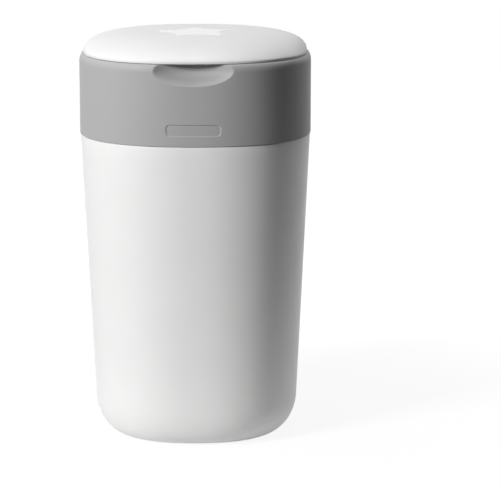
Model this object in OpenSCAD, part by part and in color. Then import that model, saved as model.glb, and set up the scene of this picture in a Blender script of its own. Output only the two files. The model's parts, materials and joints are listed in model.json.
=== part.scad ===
// Nappy bin: a tapered tub under a hinged head, with a domed lid over a refill cassette
// that sits in a hand-turned ring. Millimetres, +Z up, origin at the middle of the base.
// The finger scoop faces -Y and both hinges are at +Y.

/* [Outline] */
// Width across the collar, the widest part of the bin
body_width = 262.4; // [262:0.2:268]
// Depth as a share of the width
depth_share = 0.977; // [0.97:0.001:1]
// Squareness of the plan outline, where 2 is a plain ellipse
plan_exponent = 2.36; // [2.3:0.02:2.5]
// Height of the seam between the collar and the lid
seam_height = 437.5; // [435:0.5:442]
// Height of the lower edge of the collar
collar_bottom = 347; // [345:0.5:349]
// Height of the crease where the tub starts to round in
crease_height = 39.5; // [34:0.5:44]
// Half-width of the tub just below the collar
tub_top_half = 130.5; // [130:0.1:131]
// Half-width of the tub at the crease
tub_crease_half = 115.8; // [114:0.2:118]
// How far the foot rounds in below the crease
foot_inset = 28.8; // [20:0.1:31]
// Rise of the domed lid above the seam
lid_rise = 22.7; // [22:0.1:26]

/* [Walls] */
// Wall of the tub
tub_wall = 2.6; // [2.2:0.1:2.8]
// Wall of the collar
collar_wall = 2.8; // [2.4:0.1:2.9]
// Wall of the lid
lid_wall = 2.4; // [2:0.1:2.6]
// Open seam between the collar and the lid
seam_gap = 1.2; // [0.8:0.1:1.4]

/* [Scoop, plate and star] */
// Half-width of the finger scoop
scoop_half_width = 46; // [42:0.5:48]
// How far the scoop reaches below its centre
scoop_drop = 18; // [15:0.5:18.5]
// How far the scoop is hollowed in from the collar's face
scoop_depth = 14.5; // [10:0.5:14.5]
// Width of the sunk plate on the front of the collar
plate_width = 60; // [50:1:70]
// Height of the sunk plate
plate_height = 12.6; // [10:0.2:14]
// Height of the middle of the plate above the floor
plate_level = 365; // [358:0.5:380]
// Radius of the star on the lid to its tips
star_radius = 40; // [36:1:44]
// Distance of the star in front of the middle of the lid
star_forward = 11; // [6:1:24]
// How far the star is turned from pointing straight back
star_turn = 7; // [0:1:12]

/* [Cassette] */
// Radius over the rim of the refill cassette
cassette_radius = 97; // [96.6:0.1:97.2]
// Radius over the body of the cassette
cassette_body_radius = 91.5; // [91:0.1:91.8]
// Height of the cassette up to its rim
cassette_height = 72; // [70:0.5:72]
// Inner radius of the cassette's central tube
tube_bore_radius = 61.5; // [58:0.5:61.5]
// Number of sunk panels round the cassette
panel_count = 6; // [6:2:10]
// Number of click teeth round the carrier
tooth_count = 36; // [24:1:40]

/* [Hinges] */
// Radius of the hinge pins
pin_radius = 2; // [1.6:0.1:2.2]
// Radial clearance between a hinge pin and its bore
pin_clearance = 0.05; // [0.02:0.01:0.08]
// Distance of each hinge from the middle of the back
hinge_offset = 30; // [28:1:32]

/* [Hidden] */

$fn = 96;
around = 72; // points round each squared oval
joggle = 0.01; // how far a cutter runs past the face that it opens

white = "#f0f0ee";
grey = "#a3a5a6";
slate = "#6f8299";
dark = "#5a5d60";
steel = "#b8bcc0";

// Levels
collar_half = body_width / 2;
collar_top = seam_height - seam_gap / 2;
lid_edge = seam_height + seam_gap / 2;
tub_rim = collar_bottom + 15;
tub_shelf = collar_bottom - 0.4; // step in the tub's wall that the collar closes over
floor_top = 5; // inside face of the tub's floor
deck_level = seam_height - 9.5; // top of the deck at its round opening
cassette_top = seam_height - 13.5;
cassette_base = cassette_top - cassette_height;
rim_base = cassette_top - 24; // underside of the cassette's rim band
ledge_top = seam_height - 29; // bearing ledge of the chassis
well_floor_top = cassette_base - 4.5;
well_floor_base = well_floor_top - 2.5;

// Radii, from the cassette outwards
lug_reach = 2.8; // how far the cassette's two lugs stand out of its rim
carrier_bore = cassette_radius + 0.8;
carrier_radius = carrier_bore + 5.5;
well_bore = carrier_radius + 1.2;
well_radius = well_bore + 2.5;
ring_radius = carrier_radius + 3;
opening_radius = ring_radius + 1.7;

// Half-width of the collar where its shoulder meets the seam
seam_half = collar_half - 4.6;
// Half-width of the tub's neck inside the collar
neck_half = 127;
// Hinge axes, as [y, z]
head_axis = [136, collar_bottom + 2.5];
lid_axis = [133.5, seam_height + 0.5];

// ---------- Squared ovals and the shells lofted through them ----------

// Distance from the middle to the oval of half-width a and half-depth b, at angle t
function oval_radius(a, b, t) =
  pow(pow(abs(cos(t)) / a, plan_exponent) + pow(abs(sin(t)) / b, plan_exponent), -1 / plan_exponent);

// Points of the oval that lies in by inset from the one of half-width half
function oval_points(half, inset = 0) =
  [for (i = [0 : around - 1])
    let (t = 360 * i / around, r = oval_radius(half - inset, half * depth_share - inset, t))
      [r * cos(t), r * sin(t)]];

// One ring of a shell: the oval at a height
function shell_ring(half, inset, z) = [for (p = oval_points(half, inset)) [p[0], p[1], z]];

// Two triangles on each step round the band between ring lower and ring upper
function band_faces(lower, upper) =
  [for (i = [0 : around - 1], side = [0, 1])
    let (j = (i + 1) % around, a = lower * around, b = upper * around)
      side == 0 ? [a + i, b + i, b + j] : [a + i, b + j, a + j]];

// Closed shape through rings that run up, capped at the first and the last
module capped_loft(rings) {
  last = len(rings) - 1;
  polyhedron(
    points = [for (ring = rings) each ring],
    faces = concat(
      [[for (i = [0 : around - 1]) i]],
      [for (k = [0 : last - 1]) each band_faces(k, k + 1)],
      [[for (i = [around - 1 : -1 : 0]) last * around + i]]));
}

// Closed band through rings that run up outside and down inside
module looped_loft(rings) {
  count = len(rings);
  polyhedron(
    points = [for (ring = rings) each ring],
    faces = [for (k = [0 : count - 1]) each band_faces(k, (k + 1) % count)]);
}

// Flat ring between two squared ovals
module oval_band(half, outer_inset, inner_inset, z, height) {
  translate([0, 0, z])
    linear_extrude(height)
      difference() {
        polygon(oval_points(half, outer_inset));
        polygon(oval_points(half, inner_inset));
      }
}

// Ring of rectangular section
module round_band(outer, inner, z, height) {
  translate([0, 0, z])
    difference() {
      cylinder(r = outer, h = height);
      translate([0, 0, -1])
        cylinder(r = inner, h = height + 2);
    }
}

// Repeats its children evenly round the vertical axis
module ring_of(count, start = 0) {
  for (i = [0 : count - 1])
    rotate(start + 360 * i / count)
      children();
}

// Pie slice that reaches past radius, centred on angle 0
module slice(radius, angle) {
  reach = radius * 1.3;
  polygon([[0, 0], [reach * cos(angle / 2), -reach * sin(angle / 2)],
           [reach, 0], [reach * cos(angle / 2), reach * sin(angle / 2)]]);
}

// ---------- Hinges ----------

middle_knuckle = 15; // width of the middle knuckle of each hinge
side_knuckle = 8; // width of the knuckles on either side
knuckle_gap = 0.5;
hinge_width = middle_knuckle + 2 * (side_knuckle + knuckle_gap);

// Arm of the given width: a profile in [y, z], extruded along X from x
module arm(profile, x, width) {
  translate([x, 0, 0])
    rotate([90, 0, 90])
      linear_extrude(width)
        polygon(profile);
}

// Cylinder along X about a hinge axis
module axis_rod(axis, radius, x, width) {
  translate([x, axis[0], axis[1]])
    rotate([0, 90, 0])
      cylinder(r = radius, h = width);
}

// Start of each side knuckle, measured from the middle of the hinge
side_starts = [-middle_knuckle / 2 - knuckle_gap - side_knuckle, middle_knuckle / 2 + knuckle_gap];

// The middle knuckle of both hinges, on its arm
module middle_hinge_arms(axis, radius, profile) {
  for (side = [-1, 1]) {
    start = side * hinge_offset - middle_knuckle / 2;
    arm(profile, start, middle_knuckle);
    axis_rod(axis, radius, start, middle_knuckle);
  }
}

// The two side knuckles of both hinges, on their arms
module side_hinge_arms(axis, radius, profile) {
  for (side = [-1, 1], step = side_starts) {
    start = side * hinge_offset + step;
    arm(profile, start, side_knuckle);
    axis_rod(axis, radius, start, side_knuckle);
  }
}

// Block under the knuckles of both hinges, as wide as all three, down to a squared oval
// that lies within the wall
module hinge_blocks(profile, half, inset) {
  difference() {
    for (side = [-1, 1])
      arm(profile, side * hinge_offset - hinge_width / 2, hinge_width);
    linear_extrude(seam_height)
      polygon(oval_points(half, inset));
  }
}

// Bores for both pins of a hinge
module hinge_bores(axis) {
  for (side = [-1, 1])
    axis_rod(axis, pin_radius + pin_clearance, side * hinge_offset - 22, 44);
}

// Pins of one hinge, each with a flat head at its outer end
module hinge_pins(axis) {
  head_length = 1.2;
  for (side = [-1, 1])
    translate([side * hinge_offset, 0, 0])
      mirror([side < 0 ? 1 : 0, 0, 0]) {
        axis_rod(axis, pin_radius, -hinge_width / 2, hinge_width);
        axis_rod(axis, pin_radius + 1.2, hinge_width / 2, head_length);
      }
}

// ---------- Tub ----------

foot_exponent = 1.85; // roundness of the foot in section
foot_steps = [0, 15, 30, 45, 60, 75, 90];

// Ring of the rounded foot at angle step, from 90 at its base to 0 at the crease
function foot_ring(step, inset, base) =
  let (across = pow(cos(step), 2 / foot_exponent), down = pow(sin(step), 2 / foot_exponent))
    shell_ring(tub_crease_half - foot_inset * (1 - across), inset,
               crease_height - (crease_height - base) * down);

// Half-width of the tapered wall at a height between the crease and the shelf
function tub_half(z) =
  tub_crease_half + (tub_top_half - tub_crease_half) * (z - crease_height) / (tub_shelf - crease_height);

module tub_shell() {
  lip = 0.4; // chamfer on the rim and on the shelf
  neck_base = tub_shelf - tub_wall;
  wall_top = neck_base - (tub_top_half - neck_half);
  capped_loft(concat(
    [for (i = [6 : -1 : 1]) foot_ring(foot_steps[i], 0, 0)],
    [shell_ring(tub_crease_half, 0, crease_height),
     shell_ring(tub_half(tub_shelf - lip), 0, tub_shelf - lip),
     shell_ring(tub_top_half, lip, tub_shelf),
     shell_ring(neck_half, 0, tub_shelf),
     shell_ring(neck_half + 0.3, 0, tub_rim - lip),
     shell_ring(neck_half + 0.3, lip, tub_rim),
     shell_ring(neck_half + 0.3, tub_wall - lip, tub_rim),
     shell_ring(neck_half + 0.3, tub_wall, tub_rim - lip),
     shell_ring(neck_half, tub_wall, neck_base),
     shell_ring(tub_half(wall_top), tub_wall, wall_top),
     shell_ring(tub_crease_half, tub_wall, crease_height)],
    [for (i = [1 : 6]) foot_ring(foot_steps[i], tub_wall, floor_top)]));
}

module tub() {
  foot_land = 8; // width of the ring that stands on the floor
  recess = 2.4;
  hub = 24;
  rib_count = 12;
  rib_depth = 1.4;
  foot_half = tub_crease_half - foot_inset;
  catch_level = collar_bottom + 5;
  block_base = collar_bottom - 50;
  block_top = head_axis[1] - 7;
  arm_start = tub_top_half * depth_share - 3.5;
  arm_profile = [[arm_start, block_top - 6], [138.9, block_top - 6], [141.3, head_axis[1] - 1.5],
                 head_axis, [130.6, head_axis[1]], [130.6, collar_bottom - 1.1],
                 [arm_start, collar_bottom - 1.1]];
  block = [[112, block_base], [123, block_base], [132.4, collar_bottom - 29],
           [138.9, block_top - 1.2], [137.7, block_top], [112, block_top]];
  color(white)
    difference() {
      union() {
        difference() {
          tub_shell();
          translate([0, 0, -1])
            linear_extrude(recess + 1)
              difference() {
                polygon(oval_points(foot_half, foot_land));
                circle(r = hub);
              }
        }
        ring_of(rib_count)
          translate([hub - 1, -1, recess - rib_depth])
            cube([foot_half - foot_land / 2 - hub, 2, rib_depth + 1]);
        round_band(56, 54, recess - rib_depth, rib_depth + 1);
        // Bead inside the front of the rim, for the head's catch
        intersection() {
          translate([-16, -neck_half, catch_level])
            cube([32, 12, 4]);
          oval_band(neck_half, 1, tub_wall + 1.6, catch_level, 4);
        }
        hinge_blocks(block, tub_half(block_base), 0.2);
        middle_hinge_arms(head_axis, 5.5, arm_profile);
      }
      hinge_bores(head_axis);
    }
}

module head_hinge_pins() {
  color(steel)
    hinge_pins(head_axis);
}

// ---------- Collar ----------

shoulder_height = 9; // height of the rounding below the seam
seat_level = seam_height - 16.5; // top of the ledge that carries the deck
stop_level = tub_rim + 2; // underside of the ledge that rests over the tub's rim
ledge_thickness = 3;

// Ring of the rounded shoulder, from 0 on the wall to 90 at the top edge
function shoulder_ring(step, inset) =
  shell_ring(seam_half + (collar_half - seam_half) * cos(step), inset,
             collar_top - shoulder_height * (1 - sin(step)));

module collar_shell() {
  edge = 0.4;
  top_inset = collar_wall;
  looped_loft(concat(
    [shell_ring(collar_half, edge, collar_bottom),
     shell_ring(collar_half, 0, collar_bottom + edge)],
    [for (step = [0 : 15 : 75]) shoulder_ring(step, 0)],
    [shell_ring(seam_half, 0.4, collar_top),
     shell_ring(seam_half, top_inset, collar_top)],
    [for (step = [60, 30, 0]) shoulder_ring(step, collar_wall)],
    [shell_ring(collar_half, collar_wall, collar_bottom + edge),
     shell_ring(collar_half, collar_wall - edge, collar_bottom)]));
}

// The collar's outer form filled solid, above its lower ledge
module collar_solid(inset) {
  capped_loft(concat(
    [shell_ring(collar_half, inset, stop_level)],
    [for (step = [0 : 15 : 75]) shoulder_ring(step, inset)],
    [shell_ring(seam_half, 0.4 + inset, collar_top)]));
}

// The bowl that the scoop is hollowed to, grown by a wall
module scoop_bowl(grow) {
  translate([0, -collar_half * depth_share - 2, seam_height - 7])
    scale([scoop_half_width + grow, scoop_depth + grow, scoop_drop + grow])
      sphere(r = 1, $fn = 48);
}

// Block across the front with the plate's rounded outline
module plate_outline() {
  corner = 3.2;
  translate([0, -collar_half * 0.7, plate_level])
    rotate([90, 0, 0])
      linear_extrude(collar_half)
        hull()
          for (x = [-1, 1], z = [-1, 1])
            translate([x * (plate_width / 2 - corner), z * (plate_height / 2 - corner)])
              circle(r = corner, $fn = 24);
}

module collar() {
  skin = 2.2;
  plate_depth = 0.8;
  head_arms = [[127, head_axis[1] + 15], [139.7, head_axis[1] + 10], [141.2, head_axis[1] + 2],
               head_axis, [131.2, head_axis[1] + 3], [126.6, stop_level - 0.5]];
  head_block = [[118, head_axis[1] + 7.5], [138.4, head_axis[1] + 7.5], [139.8, head_axis[1] + 9],
                [137.4, head_axis[1] + 24], [129.5, head_axis[1] + 41], [118, head_axis[1] + 41]];
  lid_arms = [[126.4, lid_axis[1] - 16], [137.4, lid_axis[1] - 10], [137.9, lid_axis[1] - 1.4], lid_axis,
              [129.2, lid_axis[1]], [128.9, lid_axis[1] - 6.3], [126.4, lid_axis[1] - 10]];
  lid_block = [[118, lid_axis[1] - 38], [129.5, lid_axis[1] - 38], [135.6, lid_axis[1] - 23],
               [137.4, lid_axis[1] - 7.6], [136.3, lid_axis[1] - 6.3], [118, lid_axis[1] - 6.3]];
  color(grey)
    difference() {
      union() {
        collar_shell();
        oval_band(collar_half, collar_wall - 1, 11.5, seat_level - ledge_thickness, ledge_thickness);
        oval_band(collar_half, collar_wall - 1, 13, stop_level, ledge_thickness);
        intersection() {
          collar_solid(0.5);
          scoop_bowl(skin);
        }
        hinge_blocks(head_block, collar_half, 1.4);
        side_hinge_arms(head_axis, 5.5, head_arms);
        hinge_blocks(lid_block, collar_half, 1.4);
        side_hinge_arms(lid_axis, 4.5, lid_arms);
      }
      scoop_bowl(0);
      at_deck_screws()
        translate([0, 0, seat_level - ledge_thickness - 1])
          cylinder(r = 1.7, h = ledge_thickness + 2);
      difference() {
        plate_outline();
        linear_extrude(seam_height)
          polygon(oval_points(collar_half, plate_depth));
      }
      hinge_bores(head_axis);
      hinge_bores(lid_axis);
    }
}

// ---------- Fixed parts of the head ----------

deck_slope = 0.2; // rise of the deck per millimetre outwards
deck_wall = 2.4;
post_radius = 119.4; // distance of the chassis posts from the middle
post_start = 45;

screw_inset = 7.6; // of the deck's screws from the collar's face
screw_angles = [15, 75, 105, 165, 200, 235, 305, 340];

// Repeats its children at the deck's screws
module at_deck_screws() {
  for (t = screw_angles) {
    r = oval_radius(collar_half - screw_inset, collar_half * depth_share - screw_inset, t);
    translate([r * cos(t), r * sin(t), 0])
      children();
  }
}

module deck() {
  inset = collar_half - seam_half + collar_wall + 0.3;
  skirt_base = seat_level;
  lip_base = ledge_top + 5;
  outer = 140;
  rise = deck_slope * (outer - opening_radius);
  color(white)
    difference() {
      union() {
        intersection() {
          rotate_extrude()
            polygon([[opening_radius, deck_level], [opening_radius, deck_level - deck_wall],
                     [outer, deck_level - deck_wall + rise], [outer, deck_level + rise]]);
          linear_extrude(seam_height)
            polygon(oval_points(collar_half, inset));
        }
        oval_band(collar_half, inset, inset + 2, skirt_base, deck_level + 2.6 - skirt_base);
        at_deck_screws()
          translate([0, 0, skirt_base])
            cylinder(r = 3.4, h = deck_level + 1 - skirt_base);
        round_band(opening_radius + 2.4, opening_radius, lip_base, deck_level - lip_base);
        ring_of(4, post_start)
          translate([post_radius, 0, ledge_top])
            cylinder(r = 5, h = deck_level + 1.5 - ledge_top);
      }
      at_deck_screws()
        translate([0, 0, skirt_base - 1])
          cylinder(r = 1.5, h = 8.5);
      ring_of(4, post_start)
        translate([post_radius, 0, ledge_top - 1])
          cylinder(r = 1.6, h = 16);
      // Room behind the finger scoop
      translate([0, -collar_half * depth_share - 2, seam_height / 2])
        linear_extrude(seam_height)
          polygon([for (t = [0 : 7.5 : 352.5])
            [(scoop_half_width + 3) * cos(t), (scoop_depth + 2.8) * sin(t)]]);
    }
}

// Pan-head screw that points up, with its head's bearing face at z = 0
module screw(shank_radius, length, head_radius, head_height) {
  cylinder(r = shank_radius, h = length);
  difference() {
    translate([0, 0, -head_height])
      cylinder(r = head_radius, h = head_height);
    for (turn = [0, 90])
      rotate(turn)
        translate([-head_radius * 0.6, -0.4, -head_height - 1])
          cube([head_radius * 1.2, 0.8, 1 + head_height / 2]);
  }
}

module deck_screws() {
  color(steel)
    at_deck_screws()
      translate([0, 0, seat_level - ledge_thickness])
        screw(1.4, 9, 2.6, 1.8);
}

module chassis_screws() {
  color(steel)
    ring_of(4, post_start)
      translate([post_radius, 0, ledge_top - 3])
        screw(1.5, 14, 3.8, 2.4);
}

module chassis() {
  wall_top = ledge_top;
  ledge_radius = opening_radius + 4.5;
  floor_bore = 74;
  rib_reach = 2.6;
  color(white)
    difference() {
      union() {
        rotate_extrude()
          polygon([[floor_bore, well_floor_base], [well_radius, well_floor_base],
                   [well_radius, wall_top - 3], [ledge_radius, wall_top - 3],
                   [ledge_radius, wall_top], [well_bore, wall_top],
                   [well_bore, well_floor_top], [floor_bore, well_floor_top]]);
        ring_of(4, post_start)
          translate([0, 0, wall_top - 3]) {
            translate([post_radius, 0, 0])
              cylinder(r = 7, h = 3);
            translate([ledge_radius - 2, -7, 0])
              cube([post_radius - ledge_radius + 2, 14, 3]);
          }
        // Ribs that stiffen the wall of the well under the bearing ledge
        ring_of(24, 7.5)
          translate([well_radius - 0.5, -0.9, wall_top - 34])
            cube([rib_reach, 1.8, 31]);
      }
      ring_of(4, post_start)
        translate([post_radius, 0, wall_top - 4])
          cylinder(r = 2.1, h = 5);
      ring_of(6)
        translate([clamp_circle, 0, well_floor_base - 1])
          cylinder(r = 1.5, h = 5);
    }
}

// Levels of the gripper stack, going down from the floor of the well
gripper_sheet = 2;
clamp_height = 3;
clamp_circle = 86.5;
gripper_base = well_floor_base - gripper_sheet;
clamp_base = gripper_base - clamp_height;

module gripper() {
  petals = 16;
  root = 77;
  mouth = 27;
  drop = 13;
  color(slate)
    difference() {
      rotate_extrude()
        polygon([[92, well_floor_base], [92, gripper_base], [root, gripper_base],
                 [mouth, gripper_base - drop], [mouth - 1, gripper_base - drop + 1.4],
                 [root - 1, well_floor_base]]);
      ring_of(petals)
        translate([0, -0.7, gripper_base - drop - 1])
          cube([root - 5, 1.4, drop + 8]);
      ring_of(6)
        translate([clamp_circle, 0, gripper_base - 1])
          cylinder(r = 1.6, h = gripper_sheet + 2);
    }
}

module gripper_clamp() {
  color(white)
    difference() {
      round_band(92.5, 80, clamp_base, clamp_height);
      ring_of(6)
        translate([clamp_circle, 0, clamp_base - 1])
          cylinder(r = 1.7, h = clamp_height + 2);
    }
}

module clamp_screws() {
  color(steel)
    ring_of(6)
      translate([clamp_circle, 0, clamp_base])
        screw(1.4, well_floor_top - clamp_base - 0.3, 3, 2.2);
}

tooth_tip = 100; // radius over the click teeth of the carrier
tooth_base = cassette_base + 18;

module click_spring() {
  thickness = 0.8;
  height = 8;
  span = 36;
  foot_span = 4;
  rest_radius = well_bore - 0.3;
  color(steel)
    rotate(200)
      translate([0, 0, tooth_base + 2])
        linear_extrude(height)
          union() {
            intersection() {
              difference() {
                circle(r = rest_radius);
                circle(r = rest_radius - thickness);
              }
              slice(well_bore, span);
            }
            // Feet pressed against the wall of the well
            for (side = [-1, 1])
              rotate(side * (span - foot_span) / 2)
                intersection() {
                  difference() {
                    circle(r = well_bore);
                    circle(r = rest_radius - thickness / 2);
                  }
                  slice(well_bore, foot_span);
                }
            // Nose that the teeth click past
            polygon([[tooth_tip + 0.4, 0], [rest_radius - 0.3, -3.4], [rest_radius - 0.3, 1.8]]);
          }
}

track_bore = 95;
track_radius = 101.5;
track_depth = 15; // height of the channel that the cutter runs in
track_lip = 2;

module cutter_track() {
  base = well_floor_base - track_depth;
  color(white)
    rotate_extrude()
      polygon([[track_bore, well_floor_base], [track_bore, well_floor_base - track_lip],
               [track_radius - track_lip, well_floor_base - track_lip],
               [track_radius - track_lip, base + track_lip], [track_bore, base + track_lip],
               [track_bore, base], [track_radius, base], [track_radius, well_floor_base]]);
}

module head_catch() {
  width = 24;
  shelf = stop_level;
  shelf_edge = collar_half * depth_share - 13;
  color(white)
    arm([[-shelf_edge + 2.2, shelf + 5], [-shelf_edge - 4, shelf + 5],
         [-shelf_edge - 4, shelf + 3.1], [-shelf_edge + 0.35, shelf + 3.1],
         [-shelf_edge + 0.35, shelf - 0.1], [-shelf_edge - 2.2, shelf - 0.1],
         [-shelf_edge - 2.2, shelf - 13.8], [-shelf_edge - 3.3, shelf - 13.8],
         [-shelf_edge - 2, shelf - 19], [-shelf_edge, shelf - 19],
         [-shelf_edge, shelf - 3], [-shelf_edge + 2.2, shelf - 1]], -width / 2, width);
}

module rim_seal() {
  color(dark)
    oval_band(neck_half, 0.2, 5.4, tub_rim + 0.35, stop_level - tub_rim - 0.35);
}

module lid_hinge_pins() {
  color(steel)
    hinge_pins(lid_axis);
}

// ---------- Lid ----------

dome_crown = 3.8; // flatness of the crown in section
dome_edge = 2.64; // fullness of the dome near its edge at the sides and the back
front_edge = 1.3; // and at the front, where it slopes down sooner
front_rim = 2.2; // height of the upright edge at the front
boss_circle = 84;
liner_level = seam_height + 2.5; // underside of the liner

// How much of the front's shape the dome has at angle t, from 0 at the sides to 1
function front_share(t) = let (s = min(max(-2 * sin(t), 0), 1)) s * s * (3 - 2 * s);

// Height of the dome's ring at angle step, where it has the given share of the front's shape
function dome_level(step, inset, share) =
  let (edge = dome_edge + (front_edge - dome_edge) * share, rim = front_rim * share)
    seam_height + rim + (lid_rise - inset - rim) * pow(sin(step), 2 / edge);

// Ring of the dome at angle step, from 0 at the seam to 90 at the top
function dome_ring(step, inset) =
  let (across = pow(cos(step), 2 / dome_crown), plan = oval_points(seam_half * across, inset * across))
    [for (i = [0 : around - 1])
      [plan[i][0], plan[i][1], dome_level(step, inset, step > 80 ? 0 : front_share(360 * i / around))]];

dome_steps = [6, 15, 26, 38, 52, 66, 78, 86];

// The dome as a solid from the lid's edge up, lying in by inset
module dome_solid(inset) {
  capped_loft(concat(
    [shell_ring(seam_half, inset, lid_edge)],
    [for (step = dome_steps) dome_ring(step, inset)]));
}

// Five-pointed star with rounded tips
module star_outline(grow) {
  tip_round = 2.4;
  waist = 0.5; // radius at the notches as a share of the radius at the tips
  reach = star_radius - tip_round;
  offset(r = tip_round + grow, $fn = 24)
    polygon([for (i = [0 : 9])
      let (r = i % 2 == 0 ? reach : reach * waist, t = 90 + 36 * i)
        [r * cos(t), r * sin(t)]]);
}

module star_block(grow) {
  translate([0, -star_forward, seam_height])
    rotate(star_turn)
      linear_extrude(lid_rise + 10)
        star_outline(grow);
}

star_sink = 1;

module lid() {
  arm_profile = [[118.5, lid_edge + 0.9], [118.5, lid_edge + 9], [127, lid_edge + 8.4],
                 [135, lid_axis[1] + 4.3], lid_axis, [129.2, lid_axis[1] + 0.6]];
  color(white)
    difference() {
      union() {
        difference() {
          dome_solid(0);
          translate([0, 0, -joggle])
            dome_solid(lid_wall);
          difference() {
            star_block(0.15);
            dome_solid(star_sink);
          }
        }
        intersection() {
          ring_of(4, 45)
            translate([boss_circle, 0, liner_level + 2])
              cylinder(r = 4, h = lid_rise);
          dome_solid(lid_wall / 2);
        }
        middle_hinge_arms(lid_axis, 4.5, arm_profile);
      }
      ring_of(4, 45)
        translate([boss_circle, 0, liner_level])
          cylinder(r = 1.6, h = 12);
      hinge_bores(lid_axis);
    }
}

module star_inlay() {
  proud = 0.25;
  color("#fbfbfa")
    difference() {
      intersection() {
        star_block(0);
        dome_solid(-proud);
      }
      dome_solid(star_sink);
    }
}

liner_radius = 113.5;
seal_radius = 112.5;
seal_width = 3;

module lid_liner() {
  thickness = 2;
  rim_base = liner_level - 5;
  color(white)
    difference() {
      union() {
        translate([0, 0, liner_level])
          cylinder(r = liner_radius, h = thickness);
        round_band(seal_radius, seal_radius - seal_width, rim_base, 5 + joggle);
        for (r = [48, 96])
          round_band(r + 1, r - 1, liner_level + thickness - joggle, 2.5);
      }
      ring_of(4, 45)
        translate([boss_circle, 0, liner_level - 1])
          cylinder(r = 1.8, h = thickness + 2);
    }
}

module lid_seal() {
  top = liner_level - 5;
  tip = deck_level + deck_slope * (seal_radius - seal_width - opening_radius) + 0.9;
  color(dark)
    rotate_extrude()
      polygon([[seal_radius - seal_width, top], [seal_radius - seal_width, tip + 1.5],
               [seal_radius - seal_width + 0.8, tip], [seal_radius - seal_width + 1.6, tip + 0.6],
               [seal_radius, tip + 3], [seal_radius, top]]);
}

module liner_screws() {
  color(steel)
    ring_of(4, 45)
      translate([boss_circle, 0, liner_level])
        screw(1.5, 10, 3.4, 2);
}

// ---------- Turning parts ----------

flange_height = 2.5;
flange_base = ledge_top + 0.5;
lug_angle = 8; // width of each of the cassette's lugs
lug_places = [0, 180];

// Ring segment of the given angle at both lugs, from radius inner to outer
module at_lugs(profile, angle) {
  for (place = lug_places)
    rotate(place - angle / 2)
      rotate_extrude(angle = angle)
        polygon(profile);
}

// Ways that the lugs drop down through, above the level base
module lug_ways(base) {
  inner = carrier_bore - 2;
  outer = cassette_radius + lug_reach + 0.7;
  at_lugs([[inner, base], [outer, base], [outer, seam_height], [inner, seam_height]], lug_angle + 2);
}

module twist_ring() {
  base = flange_base + flange_height;
  body = 14;
  grip = 7;
  bore = carrier_bore + 0.3;
  color(grey)
    difference() {
      union() {
        rotate_extrude()
          polygon([[bore, base], [bore + 1.2, base], [bore + 1.2, base - 1.2],
                   [bore + 2.6, base - 1.2], [bore + 2.6, base], [ring_radius, base],
                   [ring_radius, base + body - 2], [ring_radius - 1.4, base + body],
                   [bore + 1, base + body], [bore, base + body - 1]]);
        ring_of(6, 30)
          rotate(-14)
            rotate_extrude(angle = 28)
              polygon([[bore + 2.2, base + body - 1], [ring_radius - 1.6, base + body - 1],
                       [ring_radius - 2.2, base + body + grip - 1.5],
                       [ring_radius - 3, base + body + grip], [bore + 3.4, base + body + grip],
                       [bore + 2.6, base + body + grip - 1.2]]);
      }
      lug_ways(base - 3);
    }
}

module cassette_carrier() {
  lower_bore = cassette_body_radius + 1.3;
  lower_radius = lower_bore + 2;
  tooth_root = tooth_tip - 3.2;
  floor_bore = 66;
  floor_top = cassette_base - 0.4;
  floor_base = floor_top - 2.4;
  shelf = rim_base;
  groove_inner = carrier_bore + 0.3 + 1.1;
  color(white)
    difference() {
      union() {
        rotate_extrude()
          polygon([[floor_bore, floor_base], [lower_radius, floor_base], [lower_radius, shelf - 2.5],
                   [carrier_radius, shelf - 2.5], [carrier_radius, flange_base],
                   [opening_radius + 3, flange_base], [opening_radius + 3, flange_base + flange_height],
                   [carrier_bore, flange_base + flange_height], [carrier_bore, shelf],
                   [lower_bore, shelf], [lower_bore, floor_top], [floor_bore, floor_top]]);
        // Click teeth
        translate([0, 0, tooth_base])
          linear_extrude(12)
            difference() {
              polygon([for (i = [0 : tooth_count - 1], side = [0, 1])
                let (t = 360 / tooth_count * (i + 0.12 * side), r = side == 0 ? tooth_tip : tooth_root)
                  [r * cos(t), r * sin(t)]]);
              circle(r = lower_bore + 1);
            }
        // Keys that stand in the panels of the cassette and turn it
        ring_of(panel_count / 2)
          translate([0, 0, floor_top - joggle])
            linear_extrude(20)
              intersection() {
                difference() {
                  circle(r = lower_bore + 0.5);
                  circle(r = cassette_body_radius - 2.2);
                }
                slice(lower_bore, 11);
              }
      }
      lug_ways(shelf);
      translate([0, 0, flange_base + flange_height - 1.4])
        round_band(groove_inner + 1.6, groove_inner, 0, 3);
    }
}

panel_sink = 2.6;

// Point at a radius and an angle
function polar(radius, angle) = [radius * cos(angle), radius * sin(angle)];

// Plan of the cassette's wall with its sunk panels, lying in by inset
module fluted_disc(inset) {
  floor_half = 6.5; // half the angle that a panel's floor takes
  mouth_half = 11; // half the angle between the outer edges of its sloping sides
  radius = cassette_body_radius - inset;
  slope = (mouth_half - floor_half) / panel_sink;
  difference() {
    circle(r = radius);
    ring_of(panel_count)
      intersection() {
        difference() {
          circle(r = radius + 2);
          circle(r = radius - panel_sink);
        }
        polygon([polar(radius - panel_sink - 1, slope - floor_half),
                 polar(radius + 1, -mouth_half - slope), polar(radius + 3, 0),
                 polar(radius + 1, mouth_half + slope),
                 polar(radius - panel_sink - 1, floor_half - slope)]);
      }
  }
}

window_width = 13;
window_height = 6;
window_base = cassette_top - 10.8;

// Repeats its children at the windows of the cassette's rim
module at_windows() {
  for (face = [-90, 90], side = [-1, 1])
    rotate(face + side * 34)
      children();
}

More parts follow.
